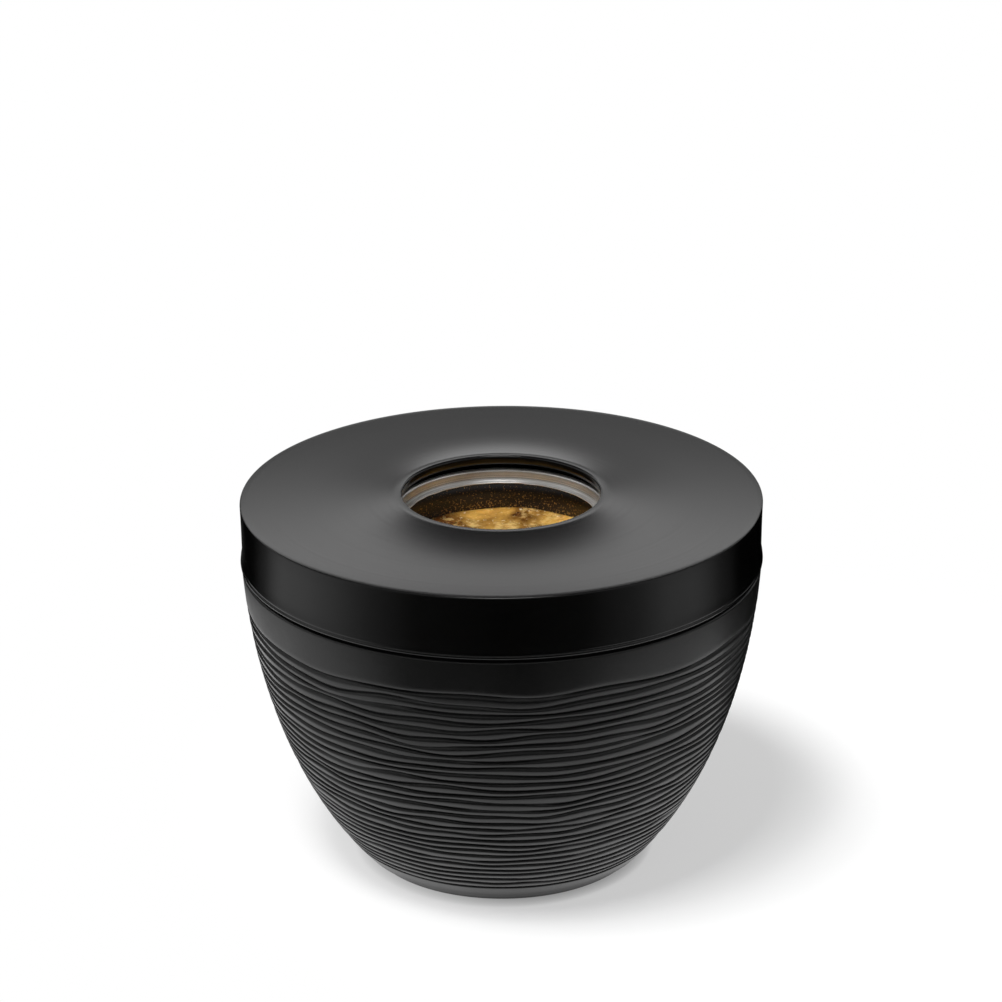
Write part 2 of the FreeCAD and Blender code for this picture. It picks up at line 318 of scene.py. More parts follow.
def turnedBrass():
    material, shader = makeMaterial("turnedBrass", (0.68, 0.5, 0.2), 0.3, 1.0)
    lines = noiseAt(material, roundPlace(material, 3000, 3000), 1.0, 3)
    wire(material, spread(material, lines, 0.3, 0.7, 0.22, 0.4), shader.inputs["Roughness"])
    tone = blendColour(material, lines, (0.60, 0.42, 0.15), (0.75, 0.57, 0.26))
    wire(material, tone, shader.inputs["Base Color"])
    return material


def softRubber(name, low, high):
    material, shader = makeMaterial(name, (high, high, high), 0.75)
    grain = noiseAt(material, objectPlace(material), 1100, 4, 0.6)
    tone = blendColour(material, grain, (low, low, low), (high, high, high))
    wire(material, tone, shader.inputs["Base Color"])
    wire(material, spread(material, grain, 0.3, 0.7, 0.66, 0.84), shader.inputs["Roughness"])
    addBump(material, shader, grain, 0.3, 0.05)
    return material


castBlackFinish = castBlack()
lidFinish = lidBlack()
tinFinish = tinplate()
lacquerFinish = lacquer()
gelFinish = amberGel()
zincFinish = zincStrip()
screwFinish = brightZinc()
brassFinish = turnedBrass()
footFinish = softRubber("footRubber", 0.02, 0.04)
rimFinish = softRubber("rimSilicone", 0.06, 0.10)
print("materials made")


# Bowl

bowlShape = {
    "footRadius": 56.8, "baseGap": 1.0, "shoulderRadius": 104.5, "shoulderHeight": 125.4,
    "centreRise": 18.6, "overrun": 23.5, "wall": 9.5, "floor": 14.0, "floorCorner": 5.0,
    "recess": 6.0, "recessRound": 1.5, "footLand": 12.0, "footRound": 1.2, "footBand": 10.7,
    # lower edge of the recess: out from its side, and up from the foot
    "recessEdge": [(0.0, 1.0), (0.4, 0.3), (1.2, 0.0)],
    "collar": 15.9, "collarEdge": 5.0, "edgeRound": 1.0,
    "neckRadius": 102.5, "neckBore": 95.0, "rimRound": 1.2,
    # corner between shoulder and neck: out from the neck, and up from the shoulder
    "neckFoot": [(0.5, 0.0), (0.12, 0.15), (0.0, 0.6)],
    # rows on the inside of the wall
    "innerRows": 14,
}
ridges = {
    "grooves": 31, "widening": 0.15, "relief": 1.25, "fullPitch": 2.8, "leastPitch": 0.5, "seed": 11,
    # waves: how many are added up, their size, and their fewest and most bends round the bowl
    "sharedWaves": (5, 1.0, 2, 8), "sharedLayers": 6, "ownWaves": (8, 0.72, 3, 19), "ownShift": 0.4,
    # grooves grow shallower where these waves rise over fadeStart
    "depthWaves": (5, 1.0, 2, 9), "fadeStart": 0.35, "fadeShare": 0.45, "leastDepth": 0.2,
    # share of the waves that is left at the foot, and in the lowest groove itself
    "calm": 0.45, "lowestWave": 0.35,
    # narrow ridges: how gently they set in, and the share of the relief that they lose
    "narrowEase": 0.45, "narrowLoss": 0.8,
    # down each ridge: share of the way from one groove to the next, and share of the relief
    "outline": [(0.03, 0.10), (0.09, 0.34), (0.16, 0.62), (0.24, 0.87), (0.33, 0.99), (0.44, 0.99),
                (0.60, 0.90), (0.76, 0.77), (0.88, 0.62), (0.95, 0.30)],
    # distance from the lowest or the top groove, and share of the relief
    "bandEdge": [(0.55, 1.0), (0.3, 0.85), (0.12, 0.5)],
    "collarEdge": [(0.15, 0.36), (0.35, 0.62), (0.65, 0.80), (1.1, 0.93), (1.7, 1.01), (2.5, 1.04),
                   (3.6, 1.03)],
}


def wallEllipse(lowRadius, low, highRadius, high):
    # the wall is part of an ellipse through one low and one high point
    centre = high + bowlShape["centreRise"]
    half = centre + bowlShape["overrun"]

    def share(z):
        return np.sqrt(1 - ((z - centre) / half) ** 2)

    width = (highRadius - lowRadius) / (share(high) - share(low))

    def radius(z):
        return lowRadius + width * (share(z) - share(low))

    return radius


def waves(turn, count, size, fewest, most):
    # slow random waves that close on themselves round the bowl
    total = np.zeros_like(turn)
    for _ in range(count):
        wave = np.sin(random.randint(fewest, most) * turn + random.uniform(0, fullTurn))
        total += size / math.sqrt(count) * wave
    return total


def grooveHeights(turn, low, high):
    # grooves from the collar down to the foot band; neighbours wander partly together
    count, calm = ridges["grooves"], ridges["calm"]
    shared = [waves(turn, *ridges["sharedWaves"]) for _ in range(ridges["sharedLayers"])]
    heights = []
    for k in range(count):
        share = 1 - k / (count - 1)
        rise = share * (1 + ridges["widening"] * share) / (1 + ridges["widening"])
        along = (1 - share) * (len(shared) - 1)
        first = min(int(along), len(shared) - 2)
        part = smoothStep(along - first)
        own = waves(turn, *ridges["ownWaves"]) + random.uniform(-ridges["ownShift"], ridges["ownShift"])
        wander = shared[first] * (1 - part) + shared[first + 1] * part + own
        height = low + rise * (high - low) + (calm + (1 - calm) * share) * wander
        if heights:
            height = np.minimum(height, heights[-1] - ridges["leastPitch"])
        heights.append(height)
    lowest = heights[-1]
    floor = low + ridges["lowestWave"] * (lowest - lowest.mean())
    for k in range(count):  # squeeze so that the last groove runs along the foot band
        part = k / (count - 1)
        heights[k] = heights[k] - part * (lowest - floor)
    return heights


def grooveDepth(turn):
    # share of the relief that a groove keeps as it runs round
    fade = smoothStep(waves(turn, *ridges["depthWaves"]) - ridges["fadeStart"])
    return np.clip(1 - ridges["fadeShare"] * fade, ridges["leastDepth"], 1)


def footRows():
    # underside, from the middle of the recess out over the foot
    b = bowlShape
    recessRadius, base, top = b["footRadius"] - b["footLand"], b["baseGap"], b["recess"]
    rows = [(0, top), (recessRadius - b["recessRound"], top), (recessRadius - 0.4, top - 0.4),
            (recessRadius, top - b["recessRound"])]
    rows += [(recessRadius + out, base + up) for out, up in b["recessEdge"]]
    edge = arcPoints((b["footRadius"] - b["footRound"], base + b["footRound"]), b["footRound"], -90, -25, 5)
    return rows + [(r + 0.02, z) for r, z in edge]


def bandRows(outside, lowest):
    # foot band, up to the lip over the lowest groove
    start = bowlShape["baseGap"] + 1.0
    heights = [start + part * (lowest - start) for part in (0.25, 0.5, 0.75, 0.9)]
    rows = [(outside(z), z) for z in heights]
    for drop, share in ridges["bandEdge"]:
        rows.append((outside(lowest - drop) - ridges["relief"] * (1 - share), lowest - drop))
    return rows


def ridgeRows(outside, heights, depths):
    # bottom to top, each ridge lapping over the groove below it
    relief, ease = ridges["relief"], ridges["narrowEase"]
    rows = []
    for k in range(len(heights) - 1, 0, -1):
        rows.append((outside(heights[k]) - relief * depths[k], heights[k]))
        gap = heights[k - 1] - heights[k]
        pitch = gap / ridges["fullPitch"]
        size = ease * smoothStep(pitch) + (1 - ease) * np.clip(pitch, 0, 1)  # narrow ridges stand lower
        for down, share in reversed(ridges["outline"]):
            z = heights[k - 1] - down * gap
            depth = relief * (depths[k - 1] * (1 - down) + depths[k] * down)
            crest = depth * (1 - size) * ridges["narrowLoss"]
            rows.append((outside(z) - crest - (depth - crest) * (1 - share), z))
    rows.append((outside(heights[0]) - relief * depths[0], heights[0]))
    return rows


def collarRows(outside, top, shoulder):
    # the collar's lower edge turns out over the top groove
    b = bowlShape
    rows = [(outside(top + rise) - ridges["relief"] * (1 - share), top + rise)
            for rise, share in ridges["collarEdge"]]
    collarTop = shoulder - b["edgeRound"]
    start = top + b["collarEdge"]
    for part in (0.25, 0.5, 0.75, 1.0):
        z = start + part * (collarTop - start)
        rows.append((outside(z), z))
    return rows + arcPoints((b["shoulderRadius"] - b["edgeRound"], collarTop), b["edgeRound"], 18, 90, 5)


def innerRows(inside, shoulder):
    # neck, rim and inside, down to the middle of the floor
    b = bowlShape
    neck, bore, rim = b["neckRadius"], b["neckBore"], bowlHigh.z
    bend, corner = b["rimRound"], b["floorCorner"]
    rows = [(neck + out, shoulder + up) for out, up in b["neckFoot"]]
    rows += arcPoints((neck - bend, rim - bend), bend, 0, 90, 6)
    rows += arcPoints((bore + bend, rim - bend), bend, 90, 180, 6)
    cornerTop = b["floor"] + corner
    for part in np.linspace(0, 1, b["innerRows"]):
        z = shoulder + part * (cornerTop - shoulder)
        rows.append((float(inside(z)), z))
    cornerOut = float(inside(cornerTop))
    for a in np.radians(np.linspace(20, 90, 5)):
        rows.append((cornerOut - corner * (1 - math.cos(a)), cornerTop - corner * math.sin(a)))
    return rows + [(0, b["floor"])]


def makeBowl():
    b = bowlShape
    random.seed(ridges["seed"])
    turn = np.arange(roundSteps) * fullTurn / roundSteps
    shoulder = bowlLow.z + b["shoulderHeight"]
    outside = wallEllipse(b["footRadius"], b["baseGap"], b["shoulderRadius"], shoulder)
    floorRadius = float(outside(b["floor"])) - b["wall"]
    inside = wallEllipse(floorRadius, b["floor"], b["neckBore"], shoulder)
    heights = grooveHeights(turn, b["footBand"], shoulder - b["collar"])
    depths = [grooveDepth(turn) for _ in heights]
    rows = footRows() + bandRows(outside, heights[-1]) + ridgeRows(outside, heights, depths)
    rows += collarRows(outside, heights[0], shoulder) + innerRows(inside, shoulder)
    bowl = lathe("ridgedBowl", [ringAt(r, z, roundSteps) for r, z in rows], "bowl", castBlackFinish)
    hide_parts("bowl_shell")


makeBowl()
print("bowl made")


# Lid

lidShape = {
    "sheet": 0.9, "holeRadius": 39.75, "lipRound": 0.95, "lipRise": 1.85, "lipDepth": 3.6, "lipStraight": 2.4,
    "ringEnd": 43.2, "riseEnd": 92.0, "riseCurve": 3.1, "edgeRound": 0.6, "edgeInset": 0.4,
    "waistInset": 0.7, "hemRadius": 0.85, "hemDepth": 24.5, "steps": 300,
    # nearly flat ring round the hole: in from its end, and up from the crest
    "ring": [(1.2, 0.01), (0.4, -0.01)], "ringFall": 0.04,
    # rows on the rise, and how much closer they lie near the ring
    "riseRows": 22, "rowCrowding": 1.4,
    # skirt: depth below the flat, and distance out from the waist
    "skirt": [(12, 0.05), (18.5, 0), (20.5, 0.1), (22, 0.32), (22.8, 0.5), (23.2, 0.46)],
}


def lidSkin(flat):
    # outer skin from the lip's lower edge, over the top and down to the hem
    s = lidShape
    crest = flat + s["lipRise"]
    lipCentre = (s["holeRadius"] + s["lipRound"], crest - s["lipRound"])
    skin = [(s["holeRadius"], crest - s["lipDepth"]), (s["holeRadius"], crest - s["lipStraight"])]
    skin += arcPoints(lipCentre, s["lipRound"], 180, 90, 7)
    skin += [(s["ringEnd"] - along, crest + up) for along, up in s["ring"]]
    for part in np.linspace(0, 1, s["riseRows"]) ** s["rowCrowding"]:
        height = flat + (s["lipRise"] - s["ringFall"]) * (1 - part) ** s["riseCurve"]
        skin.append((s["ringEnd"] + part * (s["riseEnd"] - s["ringEnd"]), height))
    edge = lidRadius - s["edgeInset"]
    skin.append((edge - 3, flat))
    skin += arcPoints((edge - s["edgeRound"], flat - s["edgeRound"]), s["edgeRound"], 90, 0, 7)
    waist = lidRadius - s["waistInset"]
    skin.append((edge - 0.15, flat - 6))
    return skin + [(waist + out, flat - drop) for drop, out in s["skirt"]]


def offsetPath(path, distance):
    # the same path moved to its right
    points = np.array(path, float)
    runs = np.diff(points, axis=0)
    runs /= np.linalg.norm(runs, axis=1)[:, None]
    normals = np.stack([runs[:, 1], -runs[:, 0]], axis=1)
    joint = np.vstack([normals[:1], normals[:-1] + normals[1:], normals[-1:]])
    joint /= np.linalg.norm(joint, axis=1)[:, None]
    return [tuple(p) for p in points + joint * distance]


def makeLid():
    s = lidShape
    flat = nodeBox("rim_bumper_1")[1].z + s["sheet"]
    skin = lidSkin(flat)
    hem = arcPoints((lidRadius - s["hemRadius"], flat - s["hemDepth"]), s["hemRadius"], 62, -200, 14)
    outline = skin + hem + offsetPath(skin, s["sheet"])[::-1]
    lid = turnedPiece("spunLid", outline, "lid", lidFinish, s["steps"])
    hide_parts("lid_plate")


makeLid()
print("lid made")


# Fuel can

canShape = {
    "radius": 41.9, "sheet": 0.4, "seamRadius": 43.65, "seamHeight": 3.1, "seamWidth": 2.6,
    "seamEdge": (0.35, 0.45), "ledge": 2.4, "weldWidth": 3.2, "weldRise": 0.16, "weldTurn": 205.0,
    # edge left by the pulled-off panel
    "tornWaves": (8, 0.12, 5, 40), "tornLow": 0.02, "tornHigh": 0.32,
    "steps": 240, "endSteps": 160, "wallRows": 12,
    # ledge under the rim, upper side and underside: in from the rim, and up from the ring's lowest edge
    "ledgeLine": [(0.12, 1.1), (0.3, 0.7), (0.6, 0.5), (1.1, 0.42), (1.5, 0.6), (1.9, 0.62), (2.15, 0.45)],
    "underLine": [(1.8, 0.1), (0.5, 0.0), (-0.2, 0.3), (-0.4, 1.0)],
    # pressed bottom: in from the seam's inner side, and down from the panel
    "endLine": [(0.1, 1.4), (0.6, 0.6), (2.0, 0.4), (4.0, 1.0), (6.0, 1.0), (8.0, 0.4)],
}


def makeCanRing():
    c = canShape
    rim, low, seam = canHigh.z, canLow.z, c["seamRadius"]
    seamLow = rim - c["seamHeight"]
    turn = np.arange(c["steps"]) * fullTurn / c["steps"]
    half = c["seamWidth"] / 2
    inner = seam - c["seamWidth"]
    edgeIn, edgeUp = c["seamEdge"]
    torn = inner - c["ledge"] + waves(turn, *c["tornWaves"])
    outline = [(seam - edgeIn, seamLow), (seam, seamLow + edgeUp), (seam, rim - half)]
    outline += arcPoints((seam - half, rim - half), half, 15, 165, 9)
    outline += [(inner, rim - half), (inner - 0.05, rim - 3.2)]
    outline += [(inner - along, low + up) for along, up in c["ledgeLine"]]
    outline += [(torn, low + c["tornHigh"]), (torn, low + c["tornLow"])]
    outline += [(inner - along, low + up) for along, up in c["underLine"]]
    outline.append((inner - c["underLine"][-1][0], seamLow))
    ring = turnedPiece("canRim", outline, "fuel_can", tinFinish, c["steps"])
    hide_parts("can_top_ring")


def makeCanBody():
    c = canShape
    low, high = endHigh.z - 1.9, canHigh.z - c["seamHeight"]
    turn = np.degrees(np.arange(c["steps"]) * fullTurn / c["steps"])
    away = np.abs(turn - c["weldTurn"]) * math.pi / 180 * c["radius"]
    weld = c["weldRise"] * smoothStep(1.5 - away / c["weldWidth"] * 1.5)
    outer = [(c["radius"] + weld, z) for z in np.linspace(low, high, c["wallRows"])]
    inner = [(c["radius"] - c["sheet"], z) for z in np.linspace(high, low, c["wallRows"])]
    body = turnedPiece("canWall", outer + inner, "fuel_can", tinFinish, c["steps"])
    body.data.materials.append(lacquerFinish)
    for face in body.data.polygons:
        middle = face.center / mm
        if math.hypot(middle.x, middle.y) < c["radius"] - c["sheet"] / 2:
            face.material_index = 1
    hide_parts("can_body")


def makeCanEnd():
    c = canShape
    base, panel, seam = endLow.z, endHigh.z, c["seamRadius"]
    bore = c["radius"] - c["sheet"] - 0.05
    seamTop = base + c["seamHeight"]
    inner = seam - c["seamWidth"]
    half = c["seamWidth"] / 2
    edgeIn, edgeDown = c["seamEdge"]
    outline = [(bore, seamTop), (seam - edgeIn, seamTop), (seam, seamTop - edgeDown)]
    outline += arcPoints((seam - half, base + half), half, -15, -165, 9)
    outline.append((inner, base + half))
    outline += [(inner - along, panel - down) for along, down in c["endLine"]]
    outline += [(0, panel - 0.4), (0, panel), (inner - 7.8, panel), (inner - 6.0, panel - 0.6),
                (inner - 4.0, panel - 0.6), (inner - 2.0, panel), (bore, panel)]
    end = turnedPiece("canFoot", outline, "fuel_can", tinFinish, c["endSteps"])
    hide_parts("can_bottom_end")


gelShape = {
    "seed": 8, "rings": 70, "steps": 220,
    # the surface lies below the box's top, and climbs where it meets the can
    "sink": 0.6, "meniscus": 0.9, "meniscusWidth": 1.1,
    "swells": 9, "ripple": 0.35, "swellRates": (0.05, 0.28),
    "bubbles": 34, "bubbleSpread": (0.02, 0.9), "bubbleRadii": (0.5, 1.7), "bubbleRise": 0.55,
}


def makeGel():
    g = gelShape
    random.seed(g["seed"])
    steps = g["steps"]
    level, reach, low = gelHigh.z, gelHigh.y - 0.02, gelLow.z
    side = level - g["sink"]
    turn = np.arange(steps) * fullTurn / steps
    bubbles = []
    for _ in range(g["bubbles"]):
        away = reach * math.sqrt(random.uniform(*g["bubbleSpread"]))
        angle = random.uniform(0, fullTurn)
        size = random.uniform(*g["bubbleRadii"])
        bubbles.append((away * math.cos(angle), away * math.sin(angle), size))
    swells = []
    for _ in range(g["swells"]):
        rate = random.uniform(*g["swellRates"])
        swells.append((rate, random.uniform(0, fullTurn), random.uniform(0, fullTurn)))
    rings = [[(0, 0, low)], ringAt(reach * 0.5, low, steps), ringAt(reach, low, steps)]
    rings += [ringAt(reach, low + part * (side - low), steps) for part in (0.3, 0.6, 1.0)]
    for k in range(g["rings"], -1, -1):
        away = reach * k / g["rings"]
        x, y = away * np.cos(turn), away * np.sin(turn)
        height = np.zeros(steps)
        for rate, angle, phase in swells:
            height += g["ripple"] / 3 * np.sin(rate * (x * math.cos(angle) + y * math.sin(angle)) + phase)
        height += g["meniscus"] * math.exp((away - reach) / g["meniscusWidth"]) - g["sink"]
        for bx, by, size in bubbles:
            near = np.clip(1 - ((x - bx) ** 2 + (y - by) ** 2) / size ** 2, 0, 1)
            height += g["bubbleRise"] * size * np.sqrt(near)
        if k == 0:
            rings.append([(0, 0, level + float(height[0]))])
        else:
            rings.append(ringAt(away, level + height, steps))
    gel = lathe("gelFill", rings, "fuel_can", gelFinish)
    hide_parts("gel_fuel")


makeCanRing()
makeCanBody()
makeCanEnd()
makeGel()
print("fuel can made")


# Cradle, pads and small parts

smallShape = {
    "padRound": 0.8, "bumperRound": 0.6, "padSteps": 40,
    "dishSheet": 1.2, "dishCorner": 1.0, "dishHole": 10.0, "holeEdge": 0.3, "dishSteps": 200,
    "rivets": 3, "rivetHead": 3.6, "rivetRise": 1.3, "rivetShank": 2.0, "rivetSteps": 28,
    "domeAngles": [25, 45, 62, 76, 87],
}


def movedRings(rings, sideways, back):
    return [[(x + sideways, y + back, z) for x, y, z in ring] for ring in rings]


def roundedPad(name, material, node, rounding):
    low, high = nodeBox(node)
    middle = (low + high) / 2
    radius = (high.x - low.x) / 2
    outline = [(0, low.z)] + arcPoints((radius - rounding, low.z + rounding), rounding, -90, 0, 5)
    outline += arcPoints((radius - rounding, high.z - rounding), rounding, 0, 90, 5) + [(0, high.z)]
    rings = movedRings([ringAt(r, z, smallShape["padSteps"]) for r, z in outline], middle.x, middle.y)
    pad = lathe(name, rings, "bowl", material)
    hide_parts(node)


def makeDish():
    s = smallShape
    low, high = nodeBox("cradle_dish")
    outer, sheet, hole, edge = high.y, s["dishSheet"], s["dishHole"], s["holeEdge"]
    bend = (outer - sheet - s["dishCorner"], low.z + sheet + s["dishCorner"])
    outline = [(hole, low.z + edge), (hole + edge, low.z)]
    outline += arcPoints(bend, s["dishCorner"] + sheet, -90, 0, 7)
    outline += arcPoints((outer - sheet / 2, high.z - sheet / 2), sheet / 2, 0, 180, 7)
    outline += arcPoints(bend, s["dishCorner"], 0, -90, 6)
    outline += [(hole + edge, low.z + sheet), (hole, low.z + sheet - edge)]
    dish = turnedPiece("pressedDish", outline, "bowl", zincFinish, s["dishSteps"])
    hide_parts("cradle_dish")


def makeRivets():
    s = smallShape
    low, high = nodeBox("cradle_rivets")
    reach = high.y - s["rivetHead"]
    head, rise, shank = s["rivetHead"], s["rivetRise"], s["rivetShank"]
    upper, lower = high.z - rise, low.z + rise
    dome = [(head * math.sin(a), rise * math.cos(a)) for a in np.radians(s["domeAngles"])]
    outline = [(0, high.z)] + [(r, upper + z) for r, z in dome]
    outline += [(head - 0.1, upper), (shank, upper), (shank, lower), (head - 0.1, lower)]
    outline += [(r, lower - z) for r, z in reversed(dome)] + [(0, low.z)]
    rings = [ringAt(r, z, s["rivetSteps"]) for r, z in outline]
    points, faces = [], []
    for number in range(s["rivets"]):
        side = math.radians(90 + number * 360 / s["rivets"])
        start = len(points)
        moved = movedRings(rings, reach * math.cos(side), reach * math.sin(side))
        rivetPoints, rivetFaces = turnedMesh(moved)
        points += rivetPoints
        faces += [[start + i for i in face] for face in rivetFaces]
    rivets = addPiece("domedRivets", points, faces, "bowl", zincFinish)
    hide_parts("cradle_rivets")


def finishNodes():
    # CAD pieces whose shape stays as it is
    finishes = {"leg_screws": screwFinish, "leg_washers": screwFinish, "floor_inserts": brassFinish}
    finishes.update({f"cradle_leg_{n}": zincFinish for n in (1, 2, 3)})
    for name, material in finishes.items():
        node = nodes[name]
        node.data.materials.clear()
        node.data.materials.append(material)


for number in (1, 2, 3, 4):
    roundedPad(f"footPad{number}", footFinish, f"foot_pad_{number}", smallShape["padRound"])
    roundedPad(f"rimBumper{number}", rimFinish, f"rim_bumper_{number}", smallShape["bumperRound"])
makeDish()
makeRivets()
finishNodes()
print("cradle and small parts made")


# Studio: pale floor, soft light, camera at the photograph's angle

studio = {
    "floorRadius": 6.0, "floorTone": 0.53, "floorGlow": 0.52,
    # round field of lamp-lit floor; outside it the floor is painted white, which partly covers its shade on
    # the lit side
    "fieldCentre": (0.10, 0.05, 0.0), "nearEdge": 0.13, "farEdge": 0.25,
    # painted contact shadow in the floor's glow: how far it reaches, the glow at the contact, and its samples
    "contactReach": 0.0045, "contactGlow": 0.22, "contactSamples": 12,
    "skyGlow": 1.0, "dome": 0.12, "skyLow": 13.0, "skyHigh": 18.0,
    "lampAway": 5.0, "lampSize": 1.2,
    # angle from the front, angle above the floor, power
    "lamps": [(-50.0, 71.0, 116.0), (-24.0, 67.0, 112.0)], "lampTarget": (0, 0, 0.1),
}
# cards round the table that only gloss sees; angles run from the front, plus is to the right
cards = {
    # angle and glow, round the table
    "glow": [(-180, 0.95), (-167, 0.70), (-157, 0.05), (-140, 0.0), (-124, 0.0), (-113, 0.08), (-100, 0.56),
             (-84, 0.72), (-70, 0.60), (-52, 0.24), (-34, 0.04), (0, 0.0), (32, 0.03), (54, 0.24), (68, 0.56),
             (82, 0.52), (98, 0.10), (112, 0.0), (150, 0.0), (160, 0.08), (170, 0.80), (180, 0.95)],
    # angle and distance of the near edge, angle and height of the back
    "near": [(-180, 0.30), (-60, 0.30), (-40, 0.18), (20, 0.18), (44, 0.27), (100, 0.27), (112, 0.12),
             (158, 0.115), (168, 0.20), (180, 0.30)],
    "top": [(-180, 0.35), (-110, 0.35), (-70, 1.3), (70, 1.3), (110, 0.35), (180, 0.35)],
    "reach": 1.4, "lift": 0.002, "step": 3,
    # glow by height
    "band": {"reach": 0.42,
             "stops": [(0.245, 0.20), (0.290, 0.27), (0.320, 0.84), (0.345, 1.5), (0.376, 2.3)]},
    # bright strips of table: at the left behind the bowl, and close under its front
    "strips": [{"near": 0.062, "far": 0.22, "stops": [(-178, 1.0), (-165, 1.9), (-130, 2.0), (-112, 1.0)]},
               {"near": 0.060, "far": 0.108, "stops": [(-110, 1.0), (-80, 1.18), (60, 1.18), (120, 0.9)]}],
    "stripLift": 0.001, "stripSteps": 60,
    "overhead": {"place": (0.0, -0.16, 1.45), "size": 0.25, "glow": 9.0, "steps": 32},
}


def joinShares(material, operation, first, second):
    # both and the result between 0 and 1
    node = addNode(material, "ShaderNodeMath")
    node.operation = operation
    node.use_clamp = True
    wire(material, first, node.inputs[0])
    wire(material, second, node.inputs[1])
    return node.outputs["Value"]


def seenFloor(material):
    # 1 for what the camera, gloss and glass see of the floor, 0 for the light that it throws on the object
    path = addNode(material, "ShaderNodeLightPath").outputs
    seen = joinShares(material, "ADD", path["Is Camera Ray"], path["Is Glossy Ray"])
    return joinShares(material, "ADD", seen, path["Is Transmission Ray"])


def makeFloor():
    points, faces = turnedMesh([ringAt(0, 0, 1), ringAt(studio["floorRadius"], 0, 96)])
    mesh = bpy.data.meshes.new("floor")
    mesh.from_pydata(points, [], [face[::-1] for face in faces])
    floor = bpy.data.objects.new("floor", mesh)
    bpy.context.scene.collection.objects.link(floor)
    tone = studio["floorTone"]
    material, shader = makeMaterial("paleFloor", (tone, tone, tone), 0.9)
    shader.inputs["Specular IOR Level"].default_value = 0.0
    mesh.materials.append(material)
    # plain white outside a round field, whose middle lies on the side where the shadow falls, so that painted
    # white partly covers the floor's shade beside the foot on the lit side
    place = addNode(material, "ShaderNodeTexCoord")
    reach = addNode(material, "ShaderNodeVectorMath")
    reach.operation = "DISTANCE"
    reach.inputs[1].default_value = studio["fieldCentre"]
    wire(material, place.outputs["Object"], reach.inputs[0])
    far = addNode(material, "ShaderNodeMapRange", From_Min=studio["nearEdge"], From_Max=studio["farEdge"])
    far.interpolation_type = "SMOOTHSTEP"
    wire(material, reach.outputs["Value"], far.inputs["Value"])
    glow = addNode(material, "ShaderNodeEmission", Color=(1, 1, 1, 1))
    # painted contact shadow: the floor's glow is darker where the foot meets the floor
    contact = addNode(material, "ShaderNodeAmbientOcclusion", Distance=studio["contactReach"])
    contact.samples = studio["contactSamples"]
    seen = seenFloor(material)
    shade = spread(material, contact.outputs["AO"], 0, 1, studio["contactGlow"], studio["floorGlow"])
    wire(material, joinShares(material, "MULTIPLY", shade, seen), glow.inputs["Strength"])
    near = addNode(material, "ShaderNodeAddShader")
    wire(material, shader.outputs["BSDF"], near.inputs[0])
    wire(material, glow.outputs["Emission"], near.inputs[1])
    white = addNode(material, "ShaderNodeEmission", Color=(1, 1, 1, 1), Strength=1.0)
    whole = addNode(material, "ShaderNodeMixShader")
    wire(material, joinShares(material, "MULTIPLY", far.outputs["Result"], seen), whole.inputs["Fac"])
    wire(material, near.outputs["Shader"], whole.inputs[1])
    wire(material, white.outputs["Emission"], whole.inputs[2])
    wire(material, whole.outputs["Shader"], material.node_tree.nodes["Material Output"].inputs["Surface"])


def addCard(name, points, faces, material):
    mesh = bpy.data.meshes.new(name)
    mesh.from_pydata(points, [], faces)
    mesh.materials.append(material)
    card = bpy.data.objects.new(name, mesh)
    bpy.context.scene.collection.objects.link(card)
    card.visible_camera = card.visible_diffuse = False
    card.visible_shadow = card.visible_transmission = False


def sweptCard(name, outlines, turns, material):
    # outlines: for each angle, (distance from the axis, height) pairs
    points = [(r * math.sin(t), -r * math.cos(t), z) for t, row in zip(turns, outlines) for r, z in row]
    wide = len(outlines[0])
    faces = [(i * wide + j, i * wide + j + 1, (i + 1) * wide + j + 1, (i + 1) * wide + j)
             for i in range(len(turns) - 1) for j in range(wide - 1)]
    addCard(name, points, faces, material)


def cardMaterial(name, glow):
    # nothing but its own glow
    material = bpy.data.materials.new(name)
    material.use_nodes = True
    shine = addNode(material, "ShaderNodeEmission", Color=(1, 1, 1, 1), Strength=glow)
    wire(material, shine.outputs["Emission"], material.node_tree.nodes["Material Output"].inputs["Surface"])
    return material, shine


def rampMaterial(name, stops, source):
    # the glow follows the given stops, along the height or the angle round the table
    most = max(glow for _, glow in stops)
    material, shine = cardMaterial(name, most)
    split = addNode(material, "ShaderNodeSeparateXYZ")
    wire(material, objectPlace(material), split.inputs["Vector"])
    value = split.outputs["Z"]
    if source == "angle":
        angle, front, turned = (addNode(material, "ShaderNodeMath") for _ in range(3))
        front.operation = turned.operation = "MULTIPLY"
        front.inputs[1].default_value = -1
        turned.inputs[1].default_value = 180 / math.pi
        angle.operation = "ARCTAN2"
        wire(material, split.outputs["Y"], front.inputs[0])
        wire(material, split.outputs["X"], angle.inputs[0])
        wire(material, front.outputs["Value"], angle.inputs[1])
        wire(material, angle.outputs["Value"], turned.inputs[0])
        value = turned.outputs["Value"]
    low, high = stops[0][0], stops[-1][0]
    ramp = addNode(material, "ShaderNodeValToRGB")
    marks = ramp.color_ramp.elements
    while len(marks) < len(stops):
        marks.new(0.5)
    for mark, (place, glow) in zip(marks, stops):
        mark.position = (place - low) / (high - low)
        mark.color = (glow / most, glow / most, glow / most, 1)
    wire(material, spread(material, value, low, high, 0, 1), ramp.inputs["Fac"])
    wire(material, ramp.outputs["Color"], shine.inputs["Color"])
    return material


